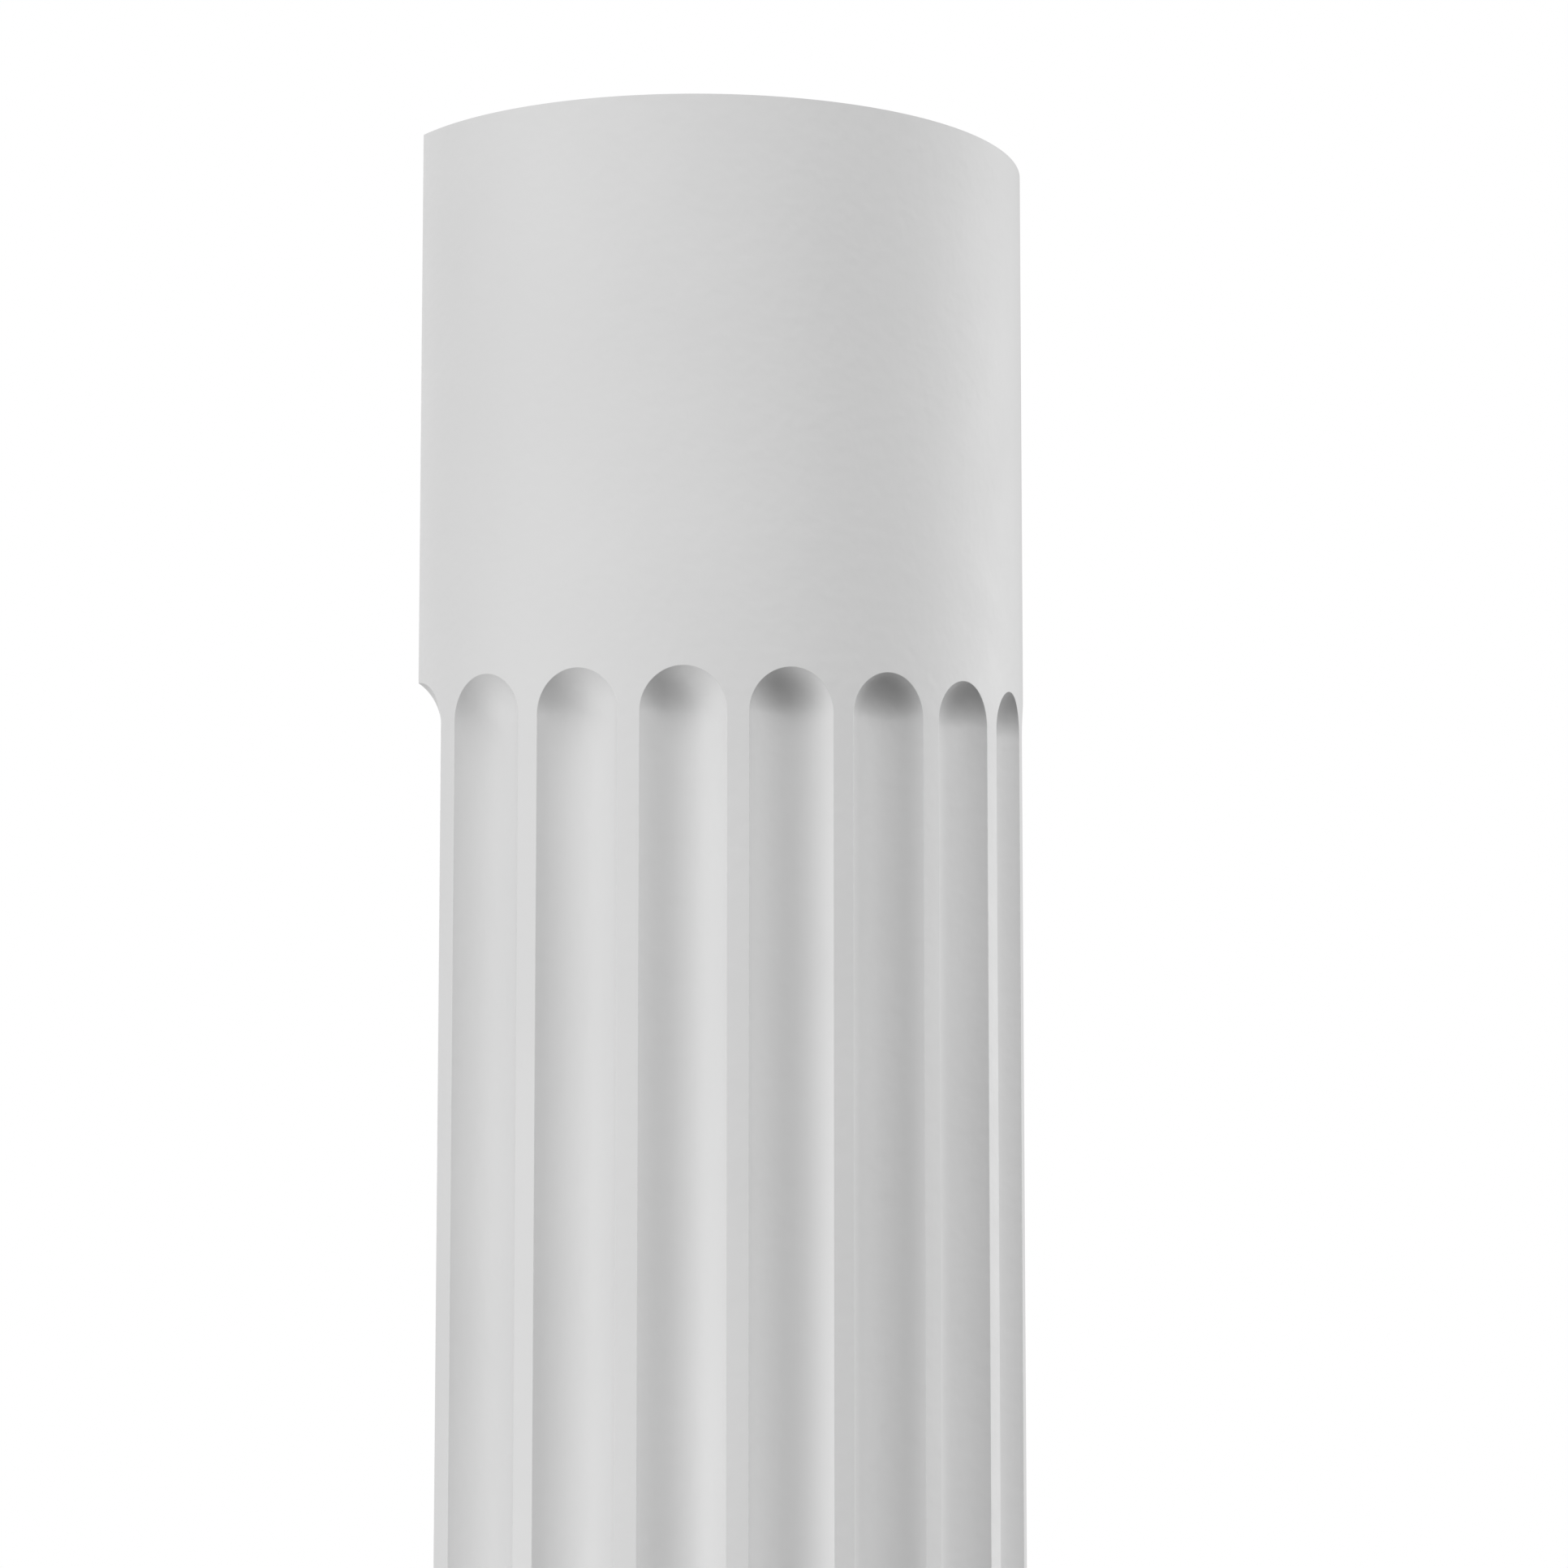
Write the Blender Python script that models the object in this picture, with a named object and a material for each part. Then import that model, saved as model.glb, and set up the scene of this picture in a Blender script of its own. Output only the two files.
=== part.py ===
"""Fluted half-round column shaft with plain bands at both ends, flat at the back to stand against a wall.

Row frame: +Z is up and z = 0 is the foot, the flat back faces +Y, and the round front faces -Y.
X = Y = 0 is the middle of the footprint, so the column's own centre line lies on the back plane.
"""

import math

import bmesh
import bpy
from mathutils import Matrix, Vector

# Driving dimensions, in metres
SHAFT_HEIGHT = 2.020
SHAFT_RADIUS = 0.110
FILLET_WIDTH = 0.0071  # strip of round surface left between two flutes, measured round the shaft
FLUTE_DEPTH = 0.0086
TOP_BAND = 0.1825  # plain surface between the top edge and the flutes
FOOT_BAND = 0.1825  # plain surface between the foot and the flutes
FLUTES_PER_TURN = 20  # what the whole round column would have; one is centred on each edge of the back

# How finely the round surfaces are faceted
ARC_STEPS_PER_FLUTE = 6
CUTTER_SIDES = 36
SEAM_MERGE_DISTANCE = 1e-6  # joins the spun cutter's first and last profile, and its points at the poles

# Worked out from the driving dimensions
BACK_Y = SHAFT_RADIUS / 2
FLUTE_PITCH_ANGLE = 2 * math.pi / FLUTES_PER_TURN
FLUTE_HALF_ANGLE = (FLUTE_PITCH_ANGLE - FILLET_WIDTH / SHAFT_RADIUS) / 2
FLUTES_ROUND_THE_FRONT = FLUTES_PER_TURN // 2

PRIMER_WHITE = (0.70, 0.70, 0.70, 1.0)
PRIMER_ROUGHNESS = 0.6


def clear_scene():
    """Removes every object that the file starts with."""
    for thing in list(bpy.data.objects):
        bpy.data.objects.remove(thing, do_unlink=True)


def primer_material():
    """Matt white primer on hard foam."""
    material = bpy.data.materials.new("white_primer")
    material.use_nodes = True
    shader = material.node_tree.nodes["Principled BSDF"]
    shader.inputs["Base Color"].default_value = PRIMER_WHITE
    shader.inputs["Roughness"].default_value = PRIMER_ROUGHNESS
    shader.inputs["Metallic"].default_value = 0.0
    return material


def add_object(name, mesh_builder):
    """Links a new mesh object whose mesh the builder fills in."""
    mesh = bpy.data.meshes.new(name)
    shape = bmesh.new()
    mesh_builder(shape)
    bmesh.ops.recalc_face_normals(shape, faces=shape.faces)
    shape.to_mesh(mesh)
    shape.free()
    thing = bpy.data.objects.new(name, mesh)
    bpy.context.scene.collection.objects.link(thing)
    return thing


def around_front(angle, radius):
    """A point in plan at an angle from the front's middle, positive towards +X."""
    return Vector((radius * math.sin(angle), BACK_Y - radius * math.cos(angle), 0.0))


def half_round_bar(shape):
    """The uncarved shaft: a half disc, drawn up to the full height."""
    steps = ARC_STEPS_PER_FLUTE * FLUTES_ROUND_THE_FRONT
    outline = [
        shape.verts.new(around_front(math.pi * (i / steps - 0.5), SHAFT_RADIUS))
        for i in range(steps + 1)
    ]
    foot = shape.faces.new(outline)
    drawn = bmesh.ops.extrude_face_region(shape, geom=[foot])
    top = [item for item in drawn["geom"] if isinstance(item, bmesh.types.BMVert)]
    bmesh.ops.translate(shape, verts=top, vec=(0.0, 0.0, SHAFT_HEIGHT))


def flute_bar_size():
    """Radius of the round-ended bar that cuts a flute, and how far its centre is from the column's.

    In plan the bar's circle passes through both rims of the flute and through its deepest point.
    """
    rim_half_width = SHAFT_RADIUS * math.sin(FLUTE_HALF_ANGLE)
    depth_below_rims = FLUTE_DEPTH - SHAFT_RADIUS * (1 - math.cos(FLUTE_HALF_ANGLE))
    radius = (rim_half_width**2 + depth_below_rims**2) / (2 * depth_below_rims)
    return radius, SHAFT_RADIUS - FLUTE_DEPTH + radius


def flute_bar(shape):
    """A bar with ball ends, upright at the origin, whose cut reaches exactly from band to band."""
    radius, centre_distance = flute_bar_size()
    ball_reach = math.sqrt(radius**2 - (centre_distance - SHAFT_RADIUS) ** 2)
    low = FOOT_BAND + ball_reach
    high = SHAFT_HEIGHT - TOP_BAND - ball_reach
    quarter = CUTTER_SIDES // 4
    profile = []
    for end, start_angle in ((low, -math.pi / 2), (high, 0.0)):
        for i in range(quarter + 1):
            angle = start_angle + math.pi / 2 * i / quarter
            profile.append((radius * math.cos(angle), 0.0, end + radius * math.sin(angle)))
    points = [shape.verts.new(co) for co in profile]
    edges = [shape.edges.new(pair) for pair in zip(points, points[1:])]
    bmesh.ops.spin(
        shape,
        geom=points + edges,
        cent=(0.0, 0.0, 0.0),
        axis=(0.0, 0.0, 1.0),
        angle=2 * math.pi,
        steps=CUTTER_SIDES,
    )
    bmesh.ops.remove_doubles(shape, verts=shape.verts, dist=SEAM_MERGE_DISTANCE)


def flute_cutters():
    """One cutter for each flute of the front, and one on each edge of the back for the half flutes there.

    Each is turned by half a side, so that none of its ridges meets a ridge of the bar that it cuts.
    """
    _, centre_distance = flute_bar_size()
    half_side = math.pi / CUTTER_SIDES
    cutters = bpy.data.collections.new("flute_cutters")
    bpy.context.scene.collection.children.link(cutters)
    for i in range(FLUTES_ROUND_THE_FRONT + 1):
        angle = -math.pi / 2 + i * FLUTE_PITCH_ANGLE
        cutter = add_object(f"flute_cutter_{i:02d}", flute_bar)
        bpy.context.scene.collection.objects.unlink(cutter)
        cutters.objects.link(cutter)
        place = Matrix.Translation(around_front(angle, centre_distance))
        cutter.matrix_world = place @ Matrix.Rotation(angle + half_side, 4, "Z")
        cutter.hide_render = True
        cutter.display_type = "WIRE"
    return cutters


def column_shaft(material):
    """The one solid piece: the half-round bar with its flutes cut away."""
    shaft = add_object("half_column_shaft", half_round_bar)
    shaft.data.materials.append(material)
    shaft.data.shade_smooth()
    shaft.data.set_sharp_from_angle(angle=math.radians(30))
    carve = shaft.modifiers.new("flutes", "BOOLEAN")
    carve.operation = "DIFFERENCE"
    carve.solver = "EXACT"
    carve.operand_type = "COLLECTION"
    carve.collection = flute_cutters()
    return shaft


def main():
    clear_scene()
    column_shaft(primer_material())


main()
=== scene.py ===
"""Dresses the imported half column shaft: fine flutes, white primer, pale floor, soft light, camera."""

import math

import bmesh
import bpy
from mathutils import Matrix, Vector


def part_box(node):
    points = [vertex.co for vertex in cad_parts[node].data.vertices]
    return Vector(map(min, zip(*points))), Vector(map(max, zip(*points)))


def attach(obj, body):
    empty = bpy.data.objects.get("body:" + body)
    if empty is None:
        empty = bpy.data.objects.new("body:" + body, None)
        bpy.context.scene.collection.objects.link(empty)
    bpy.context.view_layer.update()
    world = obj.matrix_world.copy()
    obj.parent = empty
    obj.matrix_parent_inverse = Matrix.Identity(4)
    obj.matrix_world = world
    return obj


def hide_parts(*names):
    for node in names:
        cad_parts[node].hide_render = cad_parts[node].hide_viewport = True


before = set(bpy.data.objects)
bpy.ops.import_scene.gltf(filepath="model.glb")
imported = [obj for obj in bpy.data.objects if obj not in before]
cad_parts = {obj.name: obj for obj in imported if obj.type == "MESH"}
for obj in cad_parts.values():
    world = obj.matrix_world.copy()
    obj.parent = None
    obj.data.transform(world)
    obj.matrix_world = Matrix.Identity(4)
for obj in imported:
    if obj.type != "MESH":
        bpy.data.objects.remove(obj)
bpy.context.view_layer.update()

# Sizes read from the frame, in metres
SHAFT_LOW, SHAFT_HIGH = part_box("half_column_shaft")
SHAFT_RADIUS = (SHAFT_HIGH.x - SHAFT_LOW.x) / 2
SHAFT_HEIGHT = SHAFT_HIGH.z
BACK_Y = SHAFT_HIGH.y

# The carving, as in the CAD, with lengths in metres
FILLET_WIDTH = 0.0071  # strip of round surface left between two flutes, measured round the shaft
FLUTE_DEPTH = 0.0086
TOP_BAND = 0.1825  # plain surface between the top edge and the flutes
FOOT_BAND = 0.1825  # plain surface between the foot and the flutes
FLUTES_PER_TURN = 20

# Finer than the CAD, in metres
ARRIS_RADIUS = 0.00025  # rounding of the edge between a flute and the surface round it

# How finely the surface is divided
FLUTE_RINGS = 18  # from a flute's deepest line to its arris
ARRIS_RINGS = 3
MARGIN_RINGS = 2  # from the arris to the edge of the flute's share of the surface
END_STEPS = 20  # a quarter turn round a flute's end
END_STEPS_AT_SIDE = 12  # those of them that meet the side of the flute's share, and not its top
STRAIGHT_STEP = 0.05  # in metres up a flute's straight stretch, at most
BAND_STEP = 0.03  # in metres up a plain band, at most

SAME_ANGLE = 1e-6  # in radians; angles closer than this count as one

LAYOUT_GAP = 0.008  # between the areas of the map that the primer is baked onto, in metres of surface

# The patterns in the finishes: size of a patch in metres, detail, and the values it runs between
PRIMER_SHADES = (0.07, 3.0, 0.692, 0.708)
PRIMER_ROUGHNESS = (0.022, 2.0, 0.56, 0.64)
PRIMER_PEEL = (0.0045, 1.0, 0.0, 1.0)
FLOOR_SHADES = (0.3, 4.0, 0.69, 0.71)
FLOOR_ROUGHNESS = (0.3, 2.0, 0.85, 0.95)
PEEL_HEIGHT = 0.00005  # in metres
FLOOR_SPECULAR = 0.1

# Most of a noise texture's own values lie between these, and a pattern stretches them to its range
NOISE_LOW = 0.3
NOISE_HIGH = 0.7

# The camera, from its fit to the photograph, with lengths in metres
CAMERA_AZIMUTH = math.radians(-32.948)  # round the shaft from its front's middle, positive towards +X
CAMERA_DISTANCE = 1.21375  # from the shaft's centre line
CAMERA_BELOW_TOP = 0.32022
CAMERA_YAW = math.radians(1.3325)  # to the right of the centre line
CAMERA_PITCH = math.radians(5.1984)  # upwards
CAMERA_LENS = 81.66  # in millimetres, for the sensor width below
SENSOR_WIDTH = 36.0  # in millimetres

# The nearest and farthest that the camera sees, in metres
CLIP_START = 0.01
CLIP_END = 100.0

# The studio's soft lights: degrees round from the camera, positive to the picture's right,
# degrees up, and strength
STUDIO_LIGHTS = {
    "main_light": (35, 50, 1.7),
    "left_light": (-60, -15, 1.4),
    "left_top_light": (-40, 45, 0.7),
    "left_floor_bounce": (-70, -40, 0.5),
    "right_light": (80, 30, 0.8),
    "rim_light": (120, 0, 1.1),  # from behind, for the bright edge at the right
    "back_light": (-147, 12, 1.6),  # on the flat back, which the photograph doesn't show
}
LIGHT_SPREAD = math.radians(30.0)
AMBIENT_LIGHT = 0.2
WHITE = (1.0, 1.0, 1.0, 1.0)

# The floor, in metres
FLOOR_RADIUS = 2.6  # it ends before it comes into the photograph's view
FLOOR_SOLID_RADIUS = 0.9  # beyond this it fades into the white around it
FLOOR_SIDES = 96

# Worked out from the sizes above
HALF_PITCH = math.pi / FLUTES_PER_TURN
FLUTE_HALF_ANGLE = HALF_PITCH - FILLET_WIDTH / SHAFT_RADIUS / 2
FLUTES_ROUND_THE_FRONT = FLUTES_PER_TURN // 2


def flute_bar_size():
    """Radius of the bar that would cut a flute, and how far its centre is from the shaft's."""
    rim_half_width = SHAFT_RADIUS * math.sin(FLUTE_HALF_ANGLE)
    depth_below_rims = FLUTE_DEPTH - SHAFT_RADIUS * (1 - math.cos(FLUTE_HALF_ANGLE))
    radius = (rim_half_width**2 + depth_below_rims**2) / (2 * depth_below_rims)
    return radius, SHAFT_RADIUS - FLUTE_DEPTH + radius


BAR_RADIUS, BAR_DISTANCE = flute_bar_size()
BALL_REACH = math.sqrt(BAR_RADIUS**2 - (BAR_DISTANCE - SHAFT_RADIUS) ** 2)
LOW_BALL_Z = FOOT_BAND + BALL_REACH
HIGH_BALL_Z = SHAFT_HEIGHT - TOP_BAND - BALL_REACH


def arris_angle(around):
    """Angle at the bar's centre from the deepest direction to the ball that rounds the arris.

    That ball rolls between the flute and the round surface; around is 0 beside the flute and a quarter
    turn straight above its end.
    """
    reach = BAR_RADIUS + ARRIS_RADIUS
    square = (reach * math.sin(around)) ** 2
    linear = 2 * BAR_DISTANCE * reach
    constant = BAR_DISTANCE**2 + (reach * math.cos(around)) ** 2 - (SHAFT_RADIUS - ARRIS_RADIUS) ** 2
    return math.acos(2 * constant / (linear + math.sqrt(linear**2 - 4 * square * constant)))


def flute_line(around, ball_z):
    """Points and normals from a flute's deepest point out to the round surface.

    They are in a flute's own axes: x out from the shaft's centre, y round the shaft and z up.
    """
    centre = Vector((BAR_DISTANCE, 0.0, ball_z))
    edge = arris_angle(around)
    line = []
    for ring in range(FLUTE_RINGS + 1):
        angle = edge * ring / FLUTE_RINGS
        outward = Vector(
            (-math.cos(angle), math.sin(angle) * math.cos(around), math.sin(angle) * math.sin(around))
        )
        line.append((centre + BAR_RADIUS * outward, -outward))
    wall_normal = line[-1][1]
    ball = centre - (BAR_RADIUS + ARRIS_RADIUS) * wall_normal
    round_normal = Vector((ball.x, ball.y, 0.0)).normalized()
    for ring in range(1, ARRIS_RINGS + 1):
        normal = wall_normal.slerp(round_normal, ring / ARRIS_RINGS)
        line.append((ball + ARRIS_RADIUS * normal, normal))
    return line


def on_round(angle, z):
    """A point and its normal on the uncarved round surface, in a flute's own axes."""
    normal = Vector((math.cos(angle), math.sin(angle), 0.0))
    return SHAFT_RADIUS * normal + Vector((0.0, 0.0, z)), normal


def share_edge(around):
    """Where a line from the ball's centre leaves the flute's share: (angle, height above the centre)."""
    half_width = SHAFT_RADIUS * HALF_PITCH
    corner = math.pi / 2 * END_STEPS_AT_SIDE / END_STEPS
    if around < corner + SAME_ANGLE:
        return HALF_PITCH, half_width * math.tan(around)
    height = half_width * math.tan(corner)
    return height / math.tan(around) / SHAFT_RADIUS, height


def stations():
    """(angle round the flute's end, height of the bar's centre) all the way up one side of a flute."""
    quarter = [math.pi / 2 * step / END_STEPS for step in range(END_STEPS + 1)]
    length = HIGH_BALL_Z - LOW_BALL_Z
    # An even number of steps, so that a station lies where the map folds
    straight = 2 * math.ceil(length / 2 / STRAIGHT_STEP)
    low = [(-around, LOW_BALL_Z) for around in reversed(quarter)]
    middle = [(0.0, LOW_BALL_Z + length * step / straight) for step in range(1, straight)]
    high = [(around, HIGH_BALL_Z) for around in quarter]
    return low + middle + high


def station_line(around, ball_z):
    """One station's points and normals, from the deepest point to the edge of the flute's share."""
    upward = math.copysign(1.0, around)
    line = flute_line(around, ball_z)
    rim, _ = line[-1]
    rim_angle = math.atan2(rim.y, rim.x)
    edge_angle, edge_height = share_edge(abs(around))
    edge_z = ball_z + upward * edge_height
    for ring in range(1, MARGIN_RINGS + 1):
        part = ring / MARGIN_RINGS
        angle = rim_angle + (edge_angle - rim_angle) * part
        z = rim.z + (edge_z - rim.z) * part
        line.append(on_round(angle, z))
    return line


class Surface:
    """Gathers the shaft's vertices with their normals, and its faces."""

    def __init__(self):
        self.points = []
        self.normals = []
        self.faces = []
        self.flat_faces = []
        self.known = {}

    def vertex(self, key, point, normal):
        """The number of the vertex with this key, made if it is new."""
        if key not in self.known:
            self.known[key] = len(self.points)
            self.points.append(point)
            self.normals.append(normal)
        return self.known[key]

    def quads(self, rows, flat=False):
        """Faces between neighbouring rows of vertices.

        Corners that coincide leave a triangle, or no face.
        """
        faces = self.flat_faces if flat else self.faces
        for low, high in zip(rows, rows[1:]):
            for i in range(len(low) - 1):
                corners = [low[i], low[i + 1], high[i + 1], high[i]]
                corners = [corner for j, corner in enumerate(corners) if corner != corners[j - 1]]
                if len(corners) > 2:
                    faces.append(corners)


def band_grid(band, columns, place):
    """Rows of vertices of a plain band, from beyond a flute's end to the shaft's end."""
    name, start_z, end_z = band
    rows = math.ceil(abs(end_z - start_z) / BAND_STEP)
    return [
        [
            place((name, row, column), on_round(angle, start_z + (end_z - start_z) * row / rows))
            for column, angle in enumerate(columns)
        ]
        for row in range(1, rows + 1)
    ]


def add_half_flute(surface, flute, side):
    """One side of a flute, with the plain surface beside, above and below it.

    Returns the vertices on the flute's middle line from the foot up, and those on the foot's and the
    top's edges from the middle line outwards.
    """
    angle = -math.pi / 2 + 2 * HALF_PITCH * flute
    ridge = flute if side > 0 else flute - 1
    outward = Vector((math.sin(angle), -math.cos(angle), 0.0))
    onward = side * Vector((math.cos(angle), math.sin(angle), 0.0))

    def place(name, sample):
        """A vertex of this half flute, shared with its neighbour on the middle line and on a ridge."""
        point, normal = sample
        polar = math.atan2(point.y, point.x)
        if polar < SAME_ANGLE:
            key = ("middle", flute, name)
        elif polar > HALF_PITCH - SAME_ANGLE:
            key = ("ridge", ridge, name)
        else:
            key = ("inside", flute, side, name)
        position = point.x * outward + point.y * onward + Vector((0.0, BACK_Y, point.z))
        facing = normal.x * outward + normal.y * onward + Vector((0.0, 0.0, normal.z))
        return surface.vertex(key, position, facing)

    carved = []
    for number, (around, ball_z) in enumerate(stations()):
        line = station_line(around, ball_z)
        deepest = place(("deepest", ball_z), line[0])
        rest = [place((number, ring), sample) for ring, sample in enumerate(line[1:])]
        carved.append([deepest] + rest)
    surface.quads(carved)

    steps_at_top = range(END_STEPS_AT_SIDE, END_STEPS + 1)
    edge = [share_edge(math.pi / 2 * step / END_STEPS) for step in steps_at_top]
    columns = [edge_angle for edge_angle, _ in edge]
    rise = edge[0][1]
    top_band = band_grid(("top band", HIGH_BALL_Z + rise, SHAFT_HEIGHT), columns, place)
    foot_band = band_grid(("foot band", LOW_BALL_Z - rise, 0.0), columns, place)
    above = [line[-1] for line in carved[len(carved) - len(columns) :]]
    below = [line[-1] for line in reversed(carved[: len(columns)])]
    surface.quads([above] + top_band)
    surface.quads([below] + foot_band)

    # Up the foot band, the flute's low end, its straight stretch, its high end and the top band
    middle = [row[-1] for row in reversed(foot_band)] + list(reversed(carved[0]))
    middle += [line[0] for line in carved[END_STEPS + 1 : len(carved) - END_STEPS]]
    middle += carved[-1][1:] + [row[-1] for row in top_band]
    return middle, list(reversed(foot_band[-1])), list(reversed(top_band[-1]))


def half_column():
    """The whole surface: round front with its flutes, flat back, flat foot and flat top."""
    surface = Surface()
    middles = {}
    foot_edge = []
    top_edge = []
    for flute in range(FLUTES_ROUND_THE_FRONT + 1):
        for side in (-1, 1):
            if (flute, side) in ((0, -1), (FLUTES_ROUND_THE_FRONT, 1)):
                continue
            middles[flute], foot, top = add_half_flute(surface, flute, side)
            for whole, part in ((foot_edge, foot), (top_edge, top)):
                whole.extend(part if side > 0 else reversed(part))
    surface.quads([middles[0], middles[FLUTES_ROUND_THE_FRONT]], flat=True)
    for edge in (foot_edge, top_edge):
        half = len(edge) // 2
        surface.quads([edge[:half], edge[: half - 1 : -1]], flat=True)
    return surface


def set_normals(mesh, surface):
    """Gives the flat faces, which come first, straight normals, and the carved front its true ones."""
    flat_count = len(surface.flat_faces)
    corner_normals = [None] * len(mesh.loops)
    for face in mesh.polygons:
        for loop in face.loop_indices:
            vertex = mesh.loops[loop].vertex_index
            corner_normals[loop] = face.normal if face.index < flat_count else surface.normals[vertex]
    mesh.normals_split_custom_set(corner_normals)


def lay_out_for_baking(mesh, flat_count):
    """The map that the primer is baked onto.

    The front is unrolled, and it and the back are each folded at the flutes' middle into an upper and a
    lower half. The four halves stand side by side, with the two ends of the shaft above them.
    """
    fold_z = (LOW_BALL_Z + HIGH_BALL_Z) / 2
    front = math.pi * SHAFT_RADIUS + LAYOUT_GAP
    back = 2 * SHAFT_RADIUS + LAYOUT_GAP
    scale = 1 / (2 * front + 2 * back + LAYOUT_GAP)
    layout = mesh.uv_layers.new(name="OFBake")
    for face in mesh.polygons:
        lower = face.center.z < fold_z
        on_front = face.index >= flat_count
        on_end = abs(face.normal.z) > abs(face.normal.y)
        for loop in face.loop_indices:
            point = mesh.vertices[mesh.loops[loop].vertex_index].co
            across = point.x + SHAFT_RADIUS + lower * back
            up = point.z if lower else point.z - fold_z
            if on_front:
                angle = math.atan2(point.x, BACK_Y - point.y)
                across = SHAFT_RADIUS * (angle + math.pi / 2) + lower * front
            elif on_end:
                up = SHAFT_HEIGHT - fold_z + LAYOUT_GAP + BACK_Y - point.y
            else:
                across += 2 * front
            layout.data[loop].uv = (scale * (across + LAYOUT_GAP), scale * (up + LAYOUT_GAP))


def shaft_object(material):
    """The column shaft as one closed mesh, smooth where it is curved and flat where it is flat."""
    surface = half_column()
    shape = bmesh.new()
    points = [shape.verts.new(point) for point in surface.points]
    for corners in surface.flat_faces + surface.faces:
        shape.faces.new([points[corner] for corner in corners]).smooth = True
    bmesh.ops.recalc_face_normals(shape, faces=shape.faces)
    mesh = bpy.data.meshes.new("fluted_half_column")
    shape.to_mesh(mesh)
    shape.free()
    mesh.materials.append(material)
    set_normals(mesh, surface)
    lay_out_for_baking(mesh, len(surface.flat_faces))
    thing = bpy.data.objects.new("fluted_half_column", mesh)
    bpy.context.scene.collection.objects.link(thing)
    return thing


def patches(tree, pattern, socket):
    """Feeds a soft random pattern in the object's own space to a socket."""
    size, detail, low, high = pattern
    position = tree.nodes.new("ShaderNodeTexCoord")
    noise = tree.nodes.new("ShaderNodeTexNoise")
    noise.inputs["Scale"].default_value = 1 / size
    noise.inputs["Detail"].default_value = detail
    tree.links.new(position.outputs["Object"], noise.inputs["Vector"])
    stretch = tree.nodes.new("ShaderNodeMapRange")
    stretch.inputs["From Min"].default_value = NOISE_LOW
    stretch.inputs["From Max"].default_value = NOISE_HIGH
    stretch.inputs["To Min"].default_value = low
    stretch.inputs["To Max"].default_value = high
    tree.links.new(noise.outputs["Fac"], stretch.inputs["Value"])
    tree.links.new(stretch.outputs["Result"], socket)


def white_primer():
    """Matt white primer on smooth hard foam: faintly cloudy, with a barely visible orange peel."""
    material = bpy.data.materials.new("white_primer")
    material.use_nodes = True
    tree = material.node_tree
    shader = tree.nodes["Principled BSDF"]
    patches(tree, PRIMER_SHADES, shader.inputs["Base Color"])
    patches(tree, PRIMER_ROUGHNESS, shader.inputs["Roughness"])
    peel = tree.nodes.new("ShaderNodeBump")
    peel.inputs["Distance"].default_value = PEEL_HEIGHT
    patches(tree, PRIMER_PEEL, peel.inputs["Height"])
    tree.links.new(peel.outputs["Normal"], shader.inputs["Normal"])
    return material


def pale_floor():
    """A plain pale floor that fades out towards its rim."""
    material = bpy.data.materials.new("pale_floor")
    material.use_nodes = True
    tree = material.node_tree
    shader = tree.nodes["Principled BSDF"]
    shader.inputs["Specular IOR Level"].default_value = FLOOR_SPECULAR
    patches(tree, FLOOR_SHADES, shader.inputs["Base Color"])
    patches(tree, FLOOR_ROUGHNESS, shader.inputs["Roughness"])
    position = tree.nodes.new("ShaderNodeTexCoord")
    distance = tree.nodes.new("ShaderNodeVectorMath")
    distance.operation = "LENGTH"
    tree.links.new(position.outputs["Object"], distance.inputs[0])
    fade = tree.nodes.new("ShaderNodeMapRange")
    fade.interpolation_type = "SMOOTHSTEP"
    fade.inputs["From Min"].default_value = FLOOR_SOLID_RADIUS
    fade.inputs["From Max"].default_value = FLOOR_RADIUS
    fade.inputs["To Min"].default_value = 1.0
    fade.inputs["To Max"].default_value = 0.0
    tree.links.new(distance.outputs["Value"], fade.inputs["Value"])
    tree.links.new(fade.outputs["Result"], shader.inputs["Alpha"])
    return material


def add_floor():
    """A round floor under the shaft. It takes shadows, but neither lights the shaft nor shades it."""
    shape = bmesh.new()
    bmesh.ops.create_circle(shape, cap_ends=True, radius=FLOOR_RADIUS, segments=FLOOR_SIDES)
    mesh = bpy.data.meshes.new("floor")
    shape.to_mesh(mesh)
    shape.free()
    mesh.materials.append(pale_floor())
    floor = bpy.data.objects.new("floor", mesh)
    bpy.context.scene.collection.objects.link(floor)
    floor.visible_diffuse = False
    floor.visible_glossy = False
    floor.visible_shadow = False


def aim(thing, forward):
    """Turns a camera or lamp to look along a direction, upright."""
    thing.rotation_euler = forward.to_track_quat("-Z", "Y").to_euler()


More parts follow.
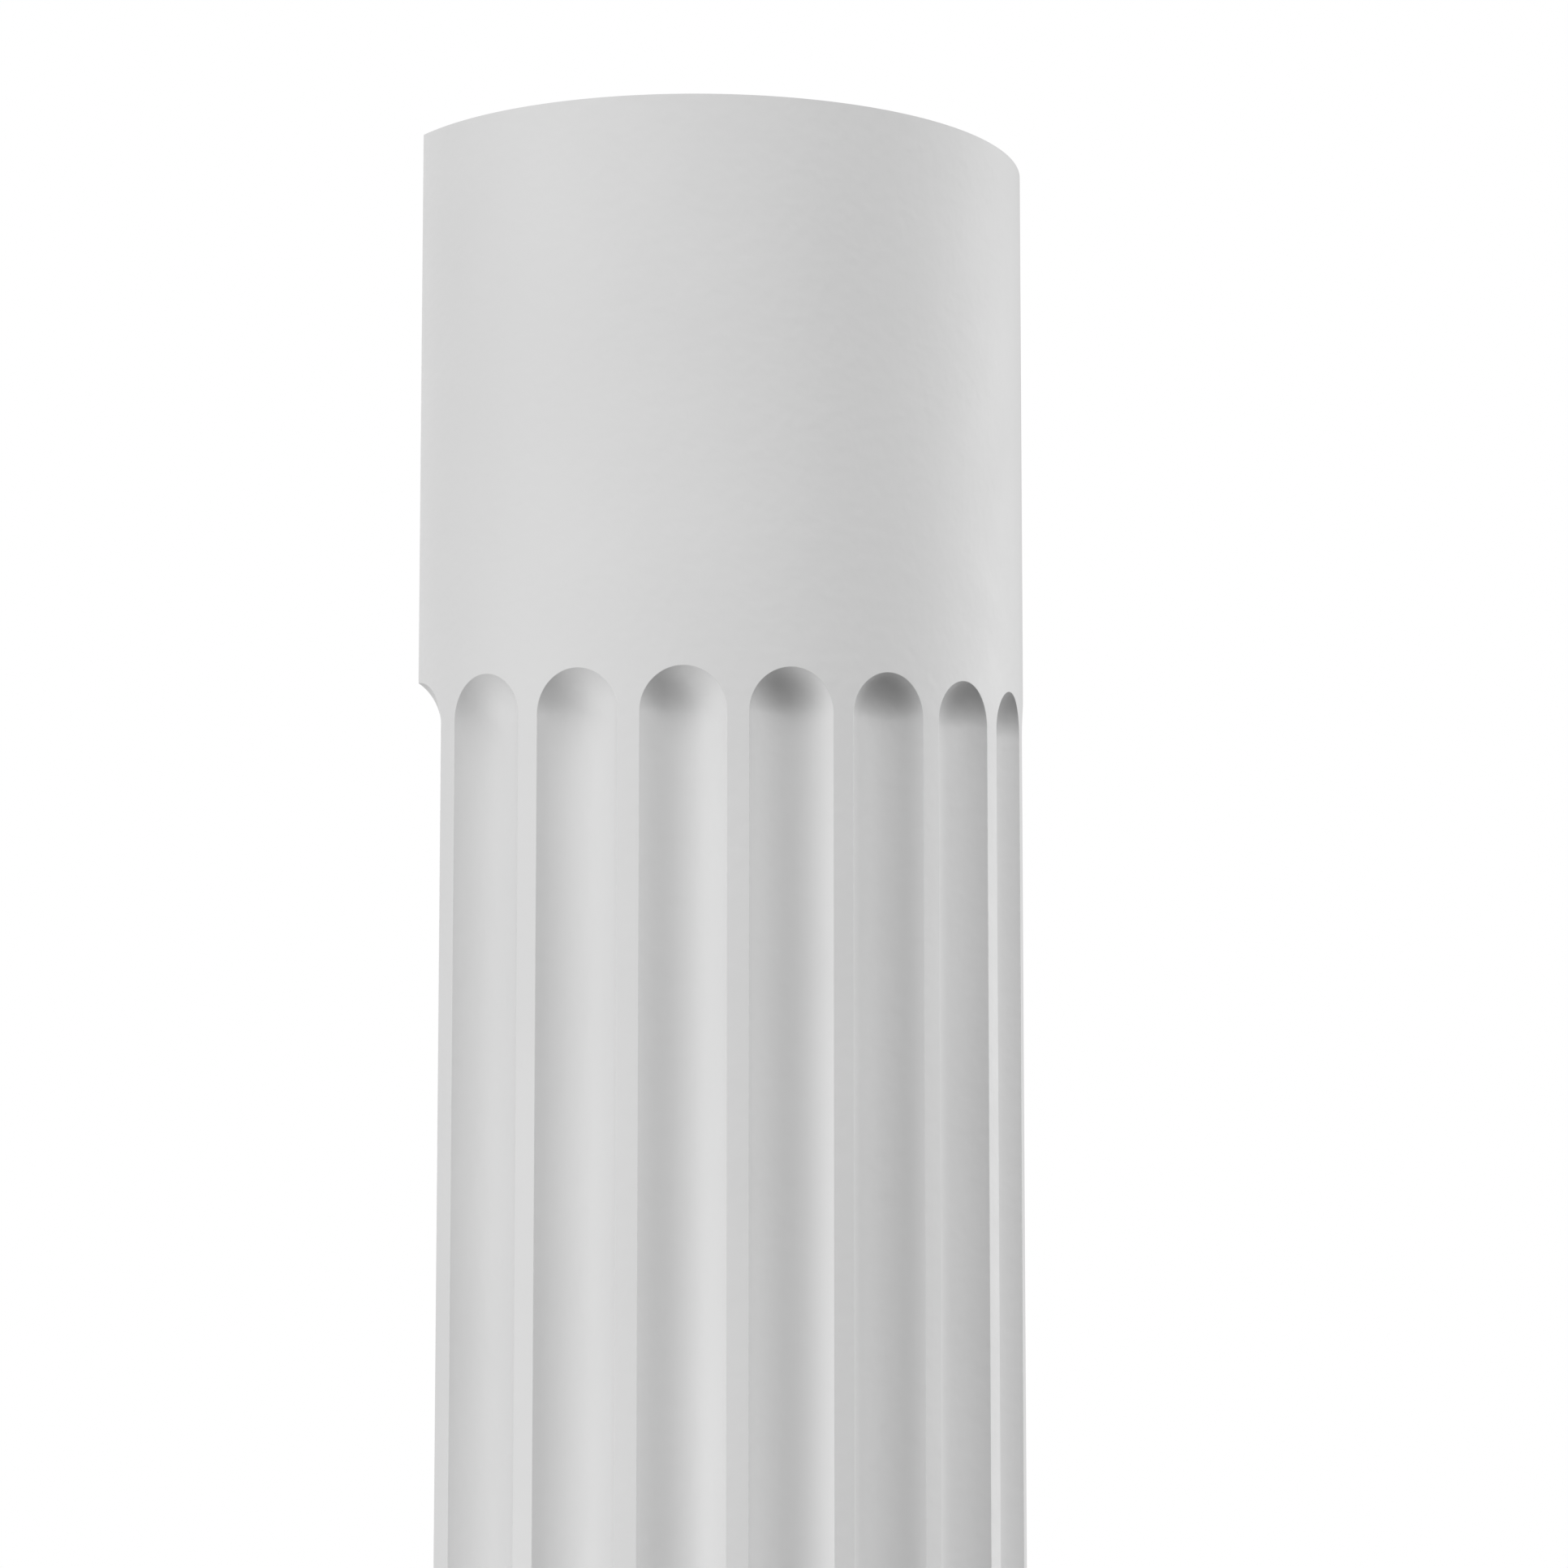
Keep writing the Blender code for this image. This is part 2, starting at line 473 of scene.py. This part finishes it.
def towards_camera(azimuth, elevation):
    """A direction from the shaft, by its azimuth from the camera, positive to the picture's right."""
    turn = CAMERA_AZIMUTH + azimuth
    flat = math.cos(elevation)
    return Vector((flat * math.sin(turn), -flat * math.cos(turn), math.sin(elevation)))


def add_camera():
    """The camera at the photograph's place."""
    data = bpy.data.cameras.new("camera")
    data.lens = CAMERA_LENS
    data.sensor_width = SENSOR_WIDTH
    data.clip_start = CLIP_START
    data.clip_end = CLIP_END
    camera = bpy.data.objects.new("camera", data)
    bpy.context.scene.collection.objects.link(camera)
    centre = Vector((0.0, BACK_Y, SHAFT_HEIGHT - CAMERA_BELOW_TOP))
    camera.location = centre + CAMERA_DISTANCE * towards_camera(0.0, 0.0)
    aim(camera, -towards_camera(-CAMERA_YAW, -CAMERA_PITCH))
    bpy.context.scene.camera = camera


def add_light(name, azimuth, elevation, strength):
    """A wide, distant soft light."""
    data = bpy.data.lights.new(name, "SUN")
    data.energy = strength
    data.angle = LIGHT_SPREAD
    lamp = bpy.data.objects.new(name, data)
    bpy.context.scene.collection.objects.link(lamp)
    aim(lamp, -towards_camera(math.radians(azimuth), math.radians(elevation)))


def studio_world():
    """White to the camera, and soft grey light on everything else."""
    world = bpy.data.worlds.new("studio")
    world.use_nodes = True
    bpy.context.scene.world = world
    nodes, links = world.node_tree.nodes, world.node_tree.links
    nodes.clear()
    seen = nodes.new("ShaderNodeBackground")
    seen.inputs["Color"].default_value = WHITE
    light = nodes.new("ShaderNodeBackground")
    light.inputs["Color"].default_value = WHITE
    light.inputs["Strength"].default_value = AMBIENT_LIGHT
    path = nodes.new("ShaderNodeLightPath")
    mix = nodes.new("ShaderNodeMixShader")
    out = nodes.new("ShaderNodeOutputWorld")
    links.new(path.outputs["Is Camera Ray"], mix.inputs["Fac"])
    links.new(light.outputs[0], mix.inputs[1])
    links.new(seen.outputs[0], mix.inputs[2])
    links.new(mix.outputs[0], out.inputs["Surface"])


shaft = shaft_object(white_primer())
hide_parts("half_column_shaft")
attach(shaft, "root")

add_camera()
studio_world()
add_floor()
for name, (azimuth, elevation, strength) in STUDIO_LIGHTS.items():
    add_light(name, azimuth, elevation, strength)
bpy.context.scene.view_settings.view_transform = "Standard"
